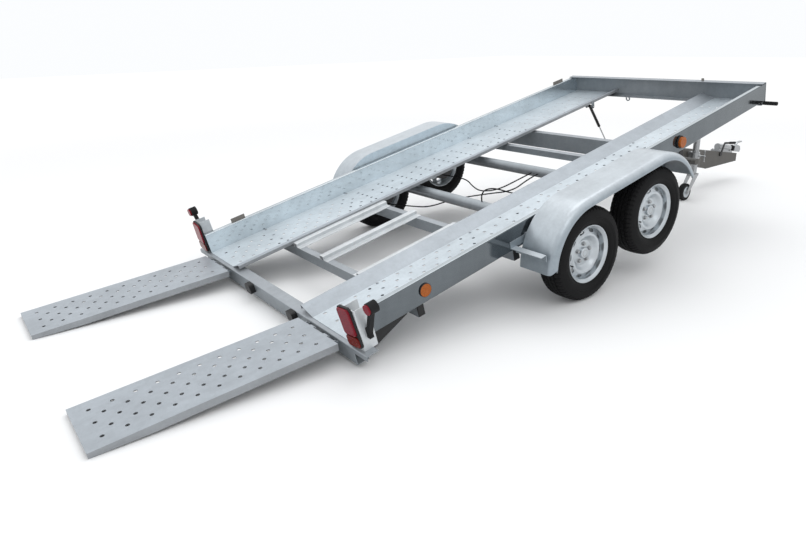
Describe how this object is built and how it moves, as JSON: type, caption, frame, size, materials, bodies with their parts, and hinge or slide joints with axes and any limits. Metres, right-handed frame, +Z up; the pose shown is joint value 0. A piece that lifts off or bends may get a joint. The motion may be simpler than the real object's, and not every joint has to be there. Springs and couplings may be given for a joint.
{
  "type": "car transport trailer",
  "caption": "Galvanised tandem-axle car transport trailer, bed tilted back on its rear wheels, with perforated wheel tracks, hinged drawbar, jockey wheel and loading ramps.",
  "frame": {"origin": "on the floor, under the middle of the overall length and width", "axes": "+X towards the coupling, +Y to the trailer's left, +Z up; the bed leans back as it stands"},
  "size_m": [6.8866, 2.46, 1.1522],
  "materials": {
    "galvanised": "hot-dip galvanised, satin with spangle",
    "bright_steel": "polished rod",
    "silver_paint": "satin silver paint",
    "black_paint": "satin black",
    "black_plastic": "moulded, matte",
    "black_rubber": "matte rubber",
    "tyre": "black rubber, dusty tread",
    "red_lens": "glossy lens",
    "orange_lens": "glossy lens",
    "amber_lens": "glossy lens"
  },
  "bodies": {
    "chassis": {"axle_front": "galvanised", "axle_rear": "galvanised", "brake_cables": "black_rubber", "crossbeam_front": "galvanised", "crossbeam_hinge": "galvanised", "crossbeam_middle": "galvanised", "crossbeam_rear": "galvanised", "crossbeam_second": "galvanised", "crossbeam_third": "galvanised", "guard_brackets": "galvanised", "lamp_brackets": "galvanised", "lamp_housing_left": "black_plastic", "lamp_housing_right": "black_plastic", "lamp_indicators": "orange_lens", "lamp_lens_left": "red_lens", "lamp_lens_right": "red_lens", "lever_grip": "black_rubber", "lock_lever": "galvanised", "marker_arms": "black_rubber", "marker_lenses": "red_lens", "mudguard_left": "galvanised", "mudguard_right": "galvanised", "plate_lamps": "black_plastic", "rail_tabs": "galvanised", "ramp_rails": "galvanised", "rear_gussets": "black_paint", "side_lamps": "amber_lens", "side_rail_left": "galvanised", "side_rail_right": "galvanised", "side_reflectors": "amber_lens", "strut_bracket": "galvanised", "tie_ring": "galvanised", "track_edge_left": "galvanised", "track_edge_right": "galvanised", "track_left": "galvanised", "track_right": "galvanised"},
    "wheel_rear_left": {"tyre_rear_left": "tyre", "rim_rear_left": "silver_paint"},
    "wheel_rear_right": {"tyre_rear_right": "tyre", "rim_rear_right": "silver_paint"},
    "wheel_front_left": {"tyre_front_left": "tyre", "rim_front_left": "silver_paint"},
    "wheel_front_right": {"tyre_front_right": "tyre", "rim_front_right": "silver_paint"},
    "drawbar": {"drawbar": "galvanised", "overrun_housing": "galvanised", "bellows": "black_rubber", "coupling": "galvanised", "handbrake": "black_paint", "jockey_tube": "galvanised"},
    "jockey_fork": {"jockey_fork": "galvanised"},
    "jockey_wheel": {"jockey_wheel": "black_rubber"},
    "strut_tube": {"strut_tube": "black_paint"},
    "strut_rod": {"strut_rod": "bright_steel"},
    "ramp_left": {"ramp_left": "galvanised"},
    "ramp_right": {"ramp_right": "galvanised"}
  },
  "joints": [
    {"name": "wheel_rear_left_spin", "type": "hinge", "parent": "chassis", "child": "wheel_rear_left", "pos_m": [-0.69225, 1.092, 0.295], "axis": [0, 1, 0], "continuous": true},
    {"name": "wheel_rear_right_spin", "type": "hinge", "parent": "chassis", "child": "wheel_rear_right", "pos_m": [-0.69225, -1.092, 0.295], "axis": [0, 1, 0], "continuous": true},
    {"name": "wheel_front_left_spin", "type": "hinge", "parent": "chassis", "child": "wheel_front_left", "pos_m": [-0.03228, 1.092, 0.44131], "axis": [0, 1, 0], "continuous": true},
    {"name": "wheel_front_right_spin", "type": "hinge", "parent": "chassis", "child": "wheel_front_right", "pos_m": [-0.03228, -1.092, 0.44131], "axis": [0, 1, 0], "continuous": true},
    {"name": "drawbar_tilt", "type": "hinge", "parent": "chassis", "child": "drawbar", "pos_m": [0.66842, 0, 0.67655], "axis": [0, -1, 0], "range_deg": [0, 21.5]},
    {"name": "jockey_swivel", "type": "hinge", "parent": "drawbar", "child": "jockey_fork", "pos_m": [2.14452, -0.2, 0.25], "axis": [0, 0, 1], "continuous": true},
    {"name": "jockey_spin", "type": "hinge", "parent": "jockey_fork", "child": "jockey_wheel", "pos_m": [2.01952, -0.2, 0.082], "axis": [0, 1, 0], "continuous": true},
    {"name": "strut_swing", "type": "hinge", "parent": "chassis", "child": "strut_tube", "pos_m": [1.3318, 0.46, 0.90453], "axis": [0, -1, 0], "range_deg": [-1, 49.47]},
    {"name": "strut_slide", "type": "slide", "parent": "strut_tube", "child": "strut_rod", "axis": [0.6261, 0, -0.7798], "range_m": [-0.1975, 0.004]},
    {"name": "ramp_left_swing", "type": "hinge", "parent": "chassis", "child": "ramp_left", "pos_m": [-2.27974, 0.696, 0.1049], "axis": [0, -1, 0], "range_deg": [-60, 22]},
    {"name": "ramp_right_swing", "type": "hinge", "parent": "chassis", "child": "ramp_right", "pos_m": [-2.27974, -0.696, 0.1049], "axis": [0, -1, 0], "range_deg": [-60, 22]}
  ],
  "couplings": [
    {"joint": "strut_swing", "follows": "drawbar_tilt", "ratio": 2.2543},
    {"joint": "strut_slide", "follows": "drawbar_tilt", "m_per_rad": -0.5156}
  ]
}
